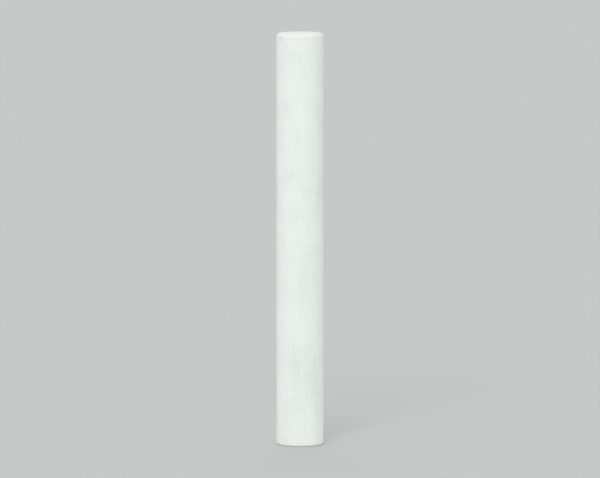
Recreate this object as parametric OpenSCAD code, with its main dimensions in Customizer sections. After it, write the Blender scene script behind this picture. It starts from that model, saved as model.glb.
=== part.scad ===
// Stick of white writing chalk, cast in one piece.
// Millimetres. The origin is the middle of the foot, which is the flat end that the
// stick stands on, and +Z runs up the axis to the top end.

/* [Barrel] */
// Length of the stick, from the foot to the top end
stick_length = 80; // [60:1:120]
// Diameter of the round barrel
barrel_diameter = 9.2; // [7:0.1:14]

/* [Ends] */
// Radius that rounds the rim of the foot
foot_rim_radius = 0.4; // [0.2:0.05:1.2]
// Radius that rounds the rim of the top end
top_rim_radius = 0.6; // [0.2:0.05:1.2]

/* [Hidden] */

barrel_radius = barrel_diameter / 2;
chalk_white = [0.91, 0.933, 0.922];
// How far a cut runs past the surface that it cuts
cut_margin = 0.5;
$fn = 96;

// The stick: half of its lengthwise section, turned round the axis
module chalk_stick() {
    color(chalk_white)
        rotate_extrude()
            half_section();
}

// From the axis out to the barrel, with the rim of each end rounded
module half_section() {
    difference() {
        square([barrel_radius, stick_length]);
        translate([barrel_radius - top_rim_radius, stick_length - top_rim_radius])
            rim_cut(top_rim_radius);
        translate([barrel_radius - foot_rim_radius, foot_rim_radius])
            mirror([0, 1])
                rim_cut(foot_rim_radius);
    }
}

// What a rounded rim takes off an upper corner, drawn from the centre of the rounding
module rim_cut(rim_radius) {
    difference() {
        square(rim_radius + cut_margin);
        circle(rim_radius);
    }
}

chalk_stick();
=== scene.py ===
"""The looks of one stick of white chalk, cast in one piece and standing on its foot.

The stick is one closed mesh with the CAD solid's outline. Its skin is finely uneven and has small air
holes, as chalk has that was poured into a mould. All of this relief goes inward from the CAD surface.
Lengths are in metres, with MM after those that are given in millimetres. Only the sizes of the material's
layers and pores are plain millimetres.
"""

import math
import random
from collections import namedtuple

import bmesh
import bpy
import numpy as np
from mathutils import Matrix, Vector, noise
from mathutils.geometry import delaunay_2d_cdt


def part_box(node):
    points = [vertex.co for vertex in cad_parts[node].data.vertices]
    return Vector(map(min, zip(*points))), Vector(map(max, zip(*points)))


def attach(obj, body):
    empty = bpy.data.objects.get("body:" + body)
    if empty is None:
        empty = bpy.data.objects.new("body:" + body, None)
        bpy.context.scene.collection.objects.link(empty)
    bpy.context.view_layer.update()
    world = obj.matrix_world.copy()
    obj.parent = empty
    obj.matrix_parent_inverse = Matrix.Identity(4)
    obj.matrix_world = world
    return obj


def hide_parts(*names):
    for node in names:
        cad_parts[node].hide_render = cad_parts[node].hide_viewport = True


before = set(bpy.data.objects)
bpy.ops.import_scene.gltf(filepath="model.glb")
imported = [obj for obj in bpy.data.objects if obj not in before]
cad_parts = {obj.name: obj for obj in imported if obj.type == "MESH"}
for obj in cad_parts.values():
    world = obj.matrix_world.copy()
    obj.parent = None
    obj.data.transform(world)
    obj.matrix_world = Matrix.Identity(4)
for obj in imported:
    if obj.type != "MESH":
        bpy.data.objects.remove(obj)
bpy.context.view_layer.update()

MM = 0.001
NODE = "chalk_stick"
NODE_LOW, NODE_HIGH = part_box(NODE)
STICK_LENGTH = NODE_HIGH.z - NODE_LOW.z
BARREL_RADIUS = (NODE_HIGH.y - NODE_LOW.y) / 2

# The rounding of the two rims, as the CAD solid has it.
FOOT_RIM_RADIUS = 0.4 * MM
TOP_RIM_RADIUS = 0.6 * MM

# ---------------------------------------------------------------- camera

# The camera stands to the left of the front and a little above, far off behind a long lens.
IMAGE_WIDTH, IMAGE_HEIGHT = 600, 478
CAMERA_AZIMUTH = math.radians(-17.6)
CAMERA_ELEVATION = math.radians(5.9)
CAMERA_DISTANCE = 1.25
STICK_SHARE_OF_IMAGE = 0.87
SENSOR_WIDTH = 36.0


def bearing(azimuth, elevation):
    """The direction from the object to whatever stands at these angles. Azimuth 0 is in front, at -Y."""
    across = math.cos(elevation)
    return Vector((math.sin(azimuth) * across, -math.cos(azimuth) * across, math.sin(elevation)))


def add_camera():
    """A camera at the viewing angle, whose lens makes the stick fill its share of the image's height."""
    seen_side = STICK_LENGTH * math.cos(CAMERA_ELEVATION)
    seen_top = 2 * BARREL_RADIUS * math.sin(CAMERA_ELEVATION)
    pixels_high = STICK_SHARE_OF_IMAGE * IMAGE_HEIGHT
    focal_pixels = pixels_high * CAMERA_DISTANCE / (seen_side + seen_top)
    data = bpy.data.cameras.new("camera")
    data.sensor_width = SENSOR_WIDTH
    data.lens = focal_pixels / IMAGE_WIDTH * SENSOR_WIDTH
    camera = bpy.data.objects.new("camera", data)
    bpy.context.scene.collection.objects.link(camera)
    toward_camera = bearing(CAMERA_AZIMUTH, CAMERA_ELEVATION)
    middle = Vector((0, 0, NODE_LOW.z + STICK_LENGTH / 2))
    camera.location = middle + toward_camera * CAMERA_DISTANCE
    camera.rotation_euler = toward_camera.to_track_quat("Z", "Y").to_euler()
    bpy.context.scene.camera = camera


# ---------------------------------------------------------------- the CAD surface

# The side of the stick unrolls into a rectangle. Its width is the girth, and its height is the way up the
# outline from the edge of the flat foot, over the foot's rim, the barrel and the top rim.
GIRTH = 2 * math.pi * BARREL_RADIUS
FOOT_RIM_LENGTH = math.pi / 2 * FOOT_RIM_RADIUS
TOP_RIM_LENGTH = math.pi / 2 * TOP_RIM_RADIUS
BARREL_LENGTH = STICK_LENGTH - FOOT_RIM_RADIUS - TOP_RIM_RADIUS
SIDE_HEIGHT = FOOT_RIM_LENGTH + BARREL_LENGTH + TOP_RIM_LENGTH


def on_side(flat):
    """A point of the unrolled side, as its place in space and the outward direction there."""
    up_the_barrel = min(max(flat.y - FOOT_RIM_LENGTH, 0.0), BARREL_LENGTH)
    past_the_barrel = flat.y - FOOT_RIM_LENGTH - up_the_barrel
    rim_radius = TOP_RIM_RADIUS if past_the_barrel > 0 else FOOT_RIM_RADIUS
    lean = past_the_barrel / rim_radius
    radius = BARREL_RADIUS - rim_radius * (1 - math.cos(lean))
    height = NODE_LOW.z + FOOT_RIM_RADIUS + up_the_barrel + rim_radius * math.sin(lean)
    turn = flat.x / BARREL_RADIUS
    radial = Vector((math.cos(turn), math.sin(turn), 0))
    outward = radial * math.cos(lean) + Vector((0, 0, math.sin(lean)))
    return radial * radius + Vector((0, 0, height)), outward


def on_foot(flat):
    """A point of the flat foot, as its place in space and the outward direction there."""
    return Vector((flat.x, flat.y, NODE_LOW.z)), Vector((0, 0, -1))


def on_top(flat):
    """A point of the flat top, as its place in space and the outward direction there."""
    return Vector((flat.x, flat.y, NODE_HIGH.z)), Vector((0, 0, 1))


# ---------------------------------------------------------------- points of the mesh

RIM_SPACING = 0.1 * MM
BARREL_SPACING = 0.25 * MM
END_SPACING = 0.12 * MM
SPACING_GROWTH = 0.1
ROW_STEP = math.sqrt(3) / 2


def side_spacing(up):
    """How far apart the points lie, this far up the side. They are closest on the rims."""
    from_foot_rim = up - FOOT_RIM_LENGTH
    from_top_rim = FOOT_RIM_LENGTH + BARREL_LENGTH - up
    from_rim = max(0.0, min(from_foot_rim, from_top_rim))
    return min(BARREL_SPACING, RIM_SPACING + SPACING_GROWTH * from_rim)


def side_points():
    """Rows of points up the unrolled side. Every second row but the last is shifted by half a step."""
    rows = [0.0]
    while rows[-1] < SIDE_HEIGHT:
        rows.append(rows[-1] + ROW_STEP * side_spacing(rows[-1]))
    stretch = SIDE_HEIGHT / rows[-1]
    points = []
    for i, row in enumerate(rows):
        count = round(GIRTH / side_spacing(row * stretch))
        shifted = i % 2 and i < len(rows) - 1
        steps = np.arange(count) + 0.5 if shifted else np.arange(count + 1)
        points.append(np.column_stack([steps / count * GIRTH, np.full(len(steps), row * stretch)]))
    return np.concatenate(points)


def end_points(radius):
    """Rings of points over a flat end. The outer ring has as many points as the rim's edge has."""
    rings = round(radius / (ROW_STEP * END_SPACING))
    points = [np.zeros((1, 2))]
    for i in range(1, rings + 1):
        ring_radius = radius * i / rings
        outermost = i == rings
        count = round(GIRTH / RIM_SPACING if outermost else 2 * math.pi * ring_radius / END_SPACING)
        shift = 0 if outermost else i % 2 / 2
        turns = (np.arange(count) + shift) / count * 2 * math.pi
        points.append(ring_radius * np.column_stack([np.cos(turns), np.sin(turns)]))
    return np.concatenate(points)


# ---------------------------------------------------------------- air holes

AirHole = namedtuple("AirHole", "centre radius depth")
HOLE_SEED = 11
SIDE_HOLES = 150
TOP_HOLES = 12
FOOT_HOLES = 6
SMALLEST_HOLE = 0.07 * MM
LARGEST_HOLE = 0.24 * MM
SIZE_FALL = 4                       # the higher, the fewer of the holes are large
HOLE_DEPTH_SHARES = (0.6, 1.1)      # the least and the most, of a hole's radius
HOLE_MARGIN = 0.6 * MM              # how far a hole's centre stays from the edges of its flat map
HOLE_DISTANCE = 2                   # the least between two centres, over the sum of the holes' radii

# Each hole has rings of points of its own, at these shares of its radius. They take the place of the
# other points as far out as the cleared share.
HOLE_RINGS = (0.3, 0.6, 0.82, 1.0, 1.18)
RING_POINTS = 14
CLEARED_SHARE = 1.45


def scatter_holes(chance, count, place_at_random):
    """Air holes at random places that don't touch each other, most of them near the smallest size."""
    holes = []
    while len(holes) < count:
        radius = SMALLEST_HOLE + (LARGEST_HOLE - SMALLEST_HOLE) * chance.random() ** SIZE_FALL
        centre = place_at_random(chance)
        if all(math.dist(centre, hole.centre) > HOLE_DISTANCE * (radius + hole.radius) for hole in holes):
            holes.append(AirHole(centre, radius, radius * chance.uniform(*HOLE_DEPTH_SHARES)))
    return holes


def anywhere_on_side(chance):
    """A place at random on the unrolled side, clear of its edges and of the rims."""
    across = chance.uniform(HOLE_MARGIN, GIRTH - HOLE_MARGIN)
    up = chance.uniform(FOOT_RIM_LENGTH + HOLE_MARGIN, FOOT_RIM_LENGTH + BARREL_LENGTH - HOLE_MARGIN)
    return across, up


def anywhere_on_end(radius):
    """A function that picks a place at random on a flat end of this radius, clear of its edge."""
    def pick(chance):
        turn = chance.uniform(0, 2 * math.pi)
        out = (radius - HOLE_MARGIN) * math.sqrt(chance.random())
        return out * math.cos(turn), out * math.sin(turn)
    return pick


def with_hole_rings(points, holes):
    """The points, where each air hole's own rings of points replace those that lie on it."""
    turns = np.arange(RING_POINTS) / RING_POINTS * 2 * math.pi
    circle = np.column_stack([np.cos(turns), np.sin(turns)])
    rings = []
    for hole in holes:
        away = np.hypot(*(points - hole.centre).T)
        points = points[away > CLEARED_SHARE * hole.radius]
        rings.append(np.array([hole.centre]))
        rings += [np.array(hole.centre) + circle * hole.radius * share for share in HOLE_RINGS]
    return np.concatenate([points, *rings])


def hole_depths(points, holes):
    """How deep each point lies in an air hole. A hole is a round bowl with a sharp edge."""
    depths = np.zeros(len(points))
    for hole in holes:
        share = np.hypot(*(points - hole.centre).T) / hole.radius
        depths = np.maximum(depths, hole.depth * (1 - share ** 2))
    return depths


# ---------------------------------------------------------------- the stick's mesh

# The skin's relief: long waves, marks drawn out along the stick as it left its mould, and crumbled rims.
WAVE_SIZE = 9 * MM
WAVE_DEPTH = 0.04 * MM
DRAG_WIDTH = 0.8 * MM
DRAG_LENGTH = 5 * MM
DRAG_DEPTH = 0.016 * MM
CRUMBLE_SIZE = 0.8 * MM
CRUMBLE_DEPTH = 0.12 * MM

# The UV map, for baking: the unrolled side fills its left, and the two ends stand beside it.
MAP_NAME = "OFBake"
MAP_MARGIN = 0.01
MAP_SIDE_WIDTH = 0.74
MAP_END_RADIUS = 0.11
MAP_END_X = 0.875
MAP_FOOT_Y = 0.25
MAP_TOP_Y = 0.75
MERGE_DISTANCE = 0.001 * MM


def unevenness(place):
    """Smooth noise from 0 to 1, with features about one unit across."""
    return 0.5 + 0.5 * noise.noise(place)


def skin_depth(place, outward):
    """How far the cast skin lies below the CAD surface at a place, without its air holes.

    The rims crumble most where they lean halfway, and the flat foot stays where it is.
    """
    on_rim = 2 * abs(outward.z) * math.hypot(outward.x, outward.y)
    off_the_foot = 1 - max(0.0, -outward.z) ** 2
    drag = Vector((place.x / DRAG_WIDTH, place.y / DRAG_WIDTH, place.z / DRAG_LENGTH))
    depth = WAVE_DEPTH * unevenness(place / WAVE_SIZE) + DRAG_DEPTH * unevenness(drag)
    depth += CRUMBLE_DEPTH * on_rim * unevenness(place / CRUMBLE_SIZE) ** 2
    return depth * off_the_foot


def side_on_map(flat):
    """A point of the unrolled side, on the UV map."""
    across = MAP_MARGIN + flat.x / GIRTH * MAP_SIDE_WIDTH
    return across, MAP_MARGIN + flat.y / SIDE_HEIGHT * (1 - 2 * MAP_MARGIN)


def end_on_map(middle_y):
    """A function that puts a flat end's points on the UV map, around this height."""
    scale = MAP_END_RADIUS / BARREL_RADIUS
    return lambda flat: (MAP_END_X + flat.x * scale, middle_y + flat.y * scale)


def add_skin(mesh, points, holes, in_space, on_map):
    """One part of the skin: flat points, joined into triangles and set out in space by in_space.

    in_space gives a flat point's place on the CAD surface and its outward direction, and on_map gives its
    place on the UV map.
    """
    corners = [Vector(point) for point in with_hole_rings(points, holes)]
    flats, _, triangles = delaunay_2d_cdt(corners, [], [], 0, MERGE_DISTANCE, False)[:3]
    depths = hole_depths(np.array(flats), holes)
    vertices = []
    for flat, depth in zip(flats, depths):
        place, outward = in_space(flat)
        vertices.append(mesh.verts.new(place - outward * (depth + skin_depth(place, outward))))
    uv_map = mesh.loops.layers.uv.verify()
    for triangle in triangles:
        face = mesh.faces.new([vertices[i] for i in triangle])
        for i, loop in zip(triangle, face.loops):
            loop[uv_map].uv = on_map(flats[i])


def stick_mesh():
    """The whole stick: its side and both ends, joined along the edges of the ends."""
    chance = random.Random(HOLE_SEED)
    foot_radius = BARREL_RADIUS - FOOT_RIM_RADIUS
    top_radius = BARREL_RADIUS - TOP_RIM_RADIUS
    side_holes = scatter_holes(chance, SIDE_HOLES, anywhere_on_side)
    top_holes = scatter_holes(chance, TOP_HOLES, anywhere_on_end(top_radius))
    foot_holes = scatter_holes(chance, FOOT_HOLES, anywhere_on_end(foot_radius))
    mesh = bmesh.new()
    mesh.loops.layers.uv.new(MAP_NAME)
    add_skin(mesh, side_points(), side_holes, on_side, side_on_map)
    add_skin(mesh, end_points(top_radius), top_holes, on_top, end_on_map(MAP_TOP_Y))
    add_skin(mesh, end_points(foot_radius), foot_holes, on_foot, end_on_map(MAP_FOOT_Y))
    bmesh.ops.remove_doubles(mesh, verts=mesh.verts, dist=MERGE_DISTANCE)
    bmesh.ops.recalc_face_normals(mesh, faces=mesh.faces)
    data = bpy.data.meshes.new("stick")
    mesh.to_mesh(data)
    mesh.free()
    data.shade_smooth()
    return data


def add_stick():
    """The stick as one piece, which stands for the CAD node."""
    stick = bpy.data.objects.new("chalk_stick_cast", stick_mesh())
    bpy.context.scene.collection.objects.link(stick)
    stick.data.materials.append(chalk_material())
    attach(stick, "root")
    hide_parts(NODE)


# ---------------------------------------------------------------- materials

# The darkest chalk colour is both the low end of the chalk's random tone and the painted shade in the
# pores.
CHALK_DULL_AND_PORE_SHADE = (0.712, 0.760, 0.734, 1.0)
CHALK_WHITE = (0.820, 0.870, 0.843, 1.0)
CHALK_POWDERY = (0.858, 0.902, 0.877, 1.0)
FLOOR_PALE = (0.565, 0.583, 0.576, 1.0)

# Layers of noise: how strong each is, how wide and how long its features are in millimetres, and how many
# finer octaves it has.
Layer = namedtuple("Layer", "strength across along detail")
DRIFT = Layer(0.75, 9.0, 12.0, 1.0)
MOTTLING = Layer(0.7, 2.6, 3.6, 4.0)
SPECKS = Layer(0.9, 0.28, 0.28, 3.0)
STREAKS = Layer(0.5, 0.3, 11.0, 2.0)
GRAIN = Layer(1.0, 0.11, 0.11, 3.0)

# Pores in millimetres, and how much they count beside the layers in the tone and in the bumps. Their
# darkening of the tone is painted shade in the pores.
PORE_APART = 0.45
PORE_RADIUS = 0.09
PORE_PAINTED_SHADE = 0.45
PORE_DEPTH = 1.2

BUMP_HEIGHT = 0.02 * MM
CHALK_SPECULAR = 0.2
ROUGHNESS_LEAST = 0.9
ROUGHNESS_MOST = 1.0
TONE_REACH = 0.3        # the tone, to either side of 0, over which the roughness runs to its ends


def new_material(name, colour, roughness, specular):
    """A material with one Principled shader, and the shader."""
    material = bpy.data.materials.new(name)
    material.use_nodes = True
    shader = material.node_tree.nodes["Principled BSDF"]
    shader.inputs["Base Color"].default_value = colour
    shader.inputs["Roughness"].default_value = roughness
    shader.inputs["Specular IOR Level"].default_value = specular
    return material, shader


def make(tree, kind, inputs, output=0, **settings):
    """A new node, whose inputs are values or other nodes' outputs. Returns one of its outputs."""
    node = tree.nodes.new(kind)
    for name, value in settings.items():
        setattr(node, name, value)
    for name, value in inputs.items():
        if isinstance(value, bpy.types.NodeSocket):
            tree.links.new(value, node.inputs[name])
        else:
            node.inputs[name].default_value = value
    return node.outputs[output]


def spot(tree, across, along):
    """A surface point's place on the stick, counted in steps of these millimetres across and along it."""
    place = make(tree, "ShaderNodeTexCoord", {}, "Object")
    per_metre = (1 / (across * MM), 1 / (across * MM), 1 / (along * MM))
    return make(tree, "ShaderNodeVectorMath", {0: place, 1: per_metre}, operation="MULTIPLY")


def noise_layer(tree, layer):
    """A layer's noise, about 0, times its strength."""
    where = spot(tree, layer.across, layer.along)
    field = make(tree, "ShaderNodeTexNoise", {"Vector": where, "Scale": 1.0, "Detail": layer.detail})
    centred = make(tree, "ShaderNodeMath", {0: field, 1: 0.5}, operation="SUBTRACT")
    return make(tree, "ShaderNodeMath", {0: centred, 1: layer.strength}, operation="MULTIPLY")


def pores(tree):
    """Pores too small to model, from 0 around them to 1 in their middles. Their sizes differ."""
    cells = {"Vector": spot(tree, PORE_APART, PORE_APART), "Scale": 1.0}
    away = make(tree, "ShaderNodeTexVoronoi", cells, "Distance")
    size = make(tree, "ShaderNodeTexVoronoi", cells, "Color")
    reach = make(tree, "ShaderNodeMath", {0: size, 1: PORE_RADIUS / PORE_APART}, operation="MULTIPLY")
    fade = {"Value": away, "From Min": 0.0, "From Max": reach, "To Min": 1.0, "To Max": 0.0}
    return make(tree, "ShaderNodeMapRange", fade)


def add_up(tree, first, *others):
    """The sum of several nodes' outputs."""
    for other in others:
        first = make(tree, "ShaderNodeMath", {0: first, 1: other}, operation="ADD")
    return first


def colour_ramp(tree, factor, colours):
    """Colours evenly spaced from 0 to 1."""
    output = make(tree, "ShaderNodeValToRGB", {"Fac": factor}, "Color")
    elements = output.node.color_ramp.elements
    while len(elements) < len(colours):
        elements.new(0.5)
    for i, colour in enumerate(colours):
        elements[i].position = i / (len(colours) - 1)
        elements[i].color = colour
    return output


def chalk_colour(tree, tone, holes):
    """Powdery white where the tone is high and duller where it is low, with painted shade darkening the
    pores.
    """
    # The pores pull the colour down toward the darkest one: painted shade in the pores.
    with_pore_shade = make(tree, "ShaderNodeMath", {0: holes, 1: -PORE_PAINTED_SHADE, 2: tone}, operation="MULTIPLY_ADD")
    factor = make(tree, "ShaderNodeMath", {0: with_pore_shade, 1: 0.5}, operation="ADD")
    return colour_ramp(tree, factor, [CHALK_DULL_AND_PORE_SHADE, CHALK_WHITE, CHALK_POWDERY])


def chalk_roughness(tree, tone):
    """Most where the tone is high and least where it is low."""
    reach = {"Value": tone, "From Min": -TONE_REACH, "From Max": TONE_REACH}
    ends = {"To Min": ROUGHNESS_LEAST, "To Max": ROUGHNESS_MOST}
    return make(tree, "ShaderNodeMapRange", reach | ends)


def chalk_bumps(tree, raised, holes):
    """The normal of a surface that stands up where the layers are raised and has the pores sunk in it."""
    height = make(tree, "ShaderNodeMath", {0: holes, 1: -PORE_DEPTH, 2: raised}, operation="MULTIPLY_ADD")
    return make(tree, "ShaderNodeBump", {"Height": height, "Distance": BUMP_HEIGHT}, "Normal")


def chalk_material():
    """Dry cast chalk: matt, faintly mottled and specked, with powdery grain, mould streaks and pores."""
    material, shader = new_material("cast_chalk", CHALK_WHITE, ROUGHNESS_MOST, CHALK_SPECULAR)
    tree = material.node_tree
    specks, streaks, holes = noise_layer(tree, SPECKS), noise_layer(tree, STREAKS), pores(tree)
    tone = add_up(tree, noise_layer(tree, DRIFT), noise_layer(tree, MOTTLING), specks, streaks)
    raised = add_up(tree, noise_layer(tree, GRAIN), specks, streaks)
    tree.links.new(chalk_colour(tree, tone, holes), shader.inputs["Base Color"])
    tree.links.new(chalk_roughness(tree, tone), shader.inputs["Roughness"])
    tree.links.new(chalk_bumps(tree, raised, holes), shader.inputs["Normal"])
    return material


# ---------------------------------------------------------------- floor and light

FLOOR_HALF_WIDTH = 30.0
SKY_STRENGTH_LEVEL = 1.23    # at eye level, where a studio's pale walls are
SKY_STRENGTH_OVERHEAD = 0.57

# Wide, soft lamps: azimuth, elevation and width in degrees, and strength.
Lamp = namedtuple("Lamp", "azimuth elevation width strength")
LAMPS = {
    "key": Lamp(-30, 32, 28, 0.88),
    "back_fill": Lamp(165, 28, 50, 0.42),
}


def add_floor():
    """A plain floor, which reaches far past every view."""
    bpy.ops.mesh.primitive_plane_add(size=2 * FLOOR_HALF_WIDTH, location=(0, 0, NODE_LOW.z))
    floor = bpy.context.object
    floor.name = "floor"
    material, _ = new_material("floor", FLOOR_PALE, roughness=1.0, specular=0.0)
    floor.data.materials.append(material)


def add_lamp(name, lamp):
    """A lamp so far off that its light is the same all over the scene."""
    data = bpy.data.lights.new(name, "SUN")
    data.energy = lamp.strength
    data.angle = math.radians(lamp.width)
    sun = bpy.data.objects.new(name, data)
    bpy.context.scene.collection.objects.link(sun)
    toward_lamp = bearing(math.radians(lamp.azimuth), math.radians(lamp.elevation))
    sun.rotation_euler = toward_lamp.to_track_quat("Z", "Y").to_euler()


def add_sky():
    """White light from all round, weaker from overhead.

    What the camera sees of it is a backdrop in the floor's colour, also in a mirror or through glass.
    """
    world = bpy.data.worlds.new("sky")
    world.use_nodes = True
    tree = world.node_tree
    light = tree.nodes["Background"]
    light.inputs["Color"].default_value = (1, 1, 1, 1)
    direction = make(tree, "ShaderNodeTexCoord", {}, "Generated")
    height = make(tree, "ShaderNodeSeparateXYZ", {"Vector": direction}, "Z")
    levels = {"Value": height, "To Min": SKY_STRENGTH_LEVEL, "To Max": SKY_STRENGTH_OVERHEAD}
    tree.links.new(make(tree, "ShaderNodeMapRange", levels), light.inputs["Strength"])
    backdrop = make(tree, "ShaderNodeBackground", {"Color": FLOOR_PALE, "Strength": 1.0})
    path = tree.nodes.new("ShaderNodeLightPath").outputs
    seen = path["Is Camera Ray"]
    for ray in ("Is Glossy Ray", "Is Transmission Ray"):
        seen = make(tree, "ShaderNodeMath", {0: seen, 1: path[ray]}, operation="MAXIMUM")
    both = make(tree, "ShaderNodeMixShader", {0: seen, 1: light.outputs[0], 2: backdrop})
    tree.links.new(both, tree.nodes["World Output"].inputs["Surface"])
    bpy.context.scene.world = world


add_camera()
add_stick()
add_floor()
for name, lamp in LAMPS.items():
    add_lamp(name, lamp)
add_sky()
bpy.context.scene.view_settings.view_transform = "Standard"
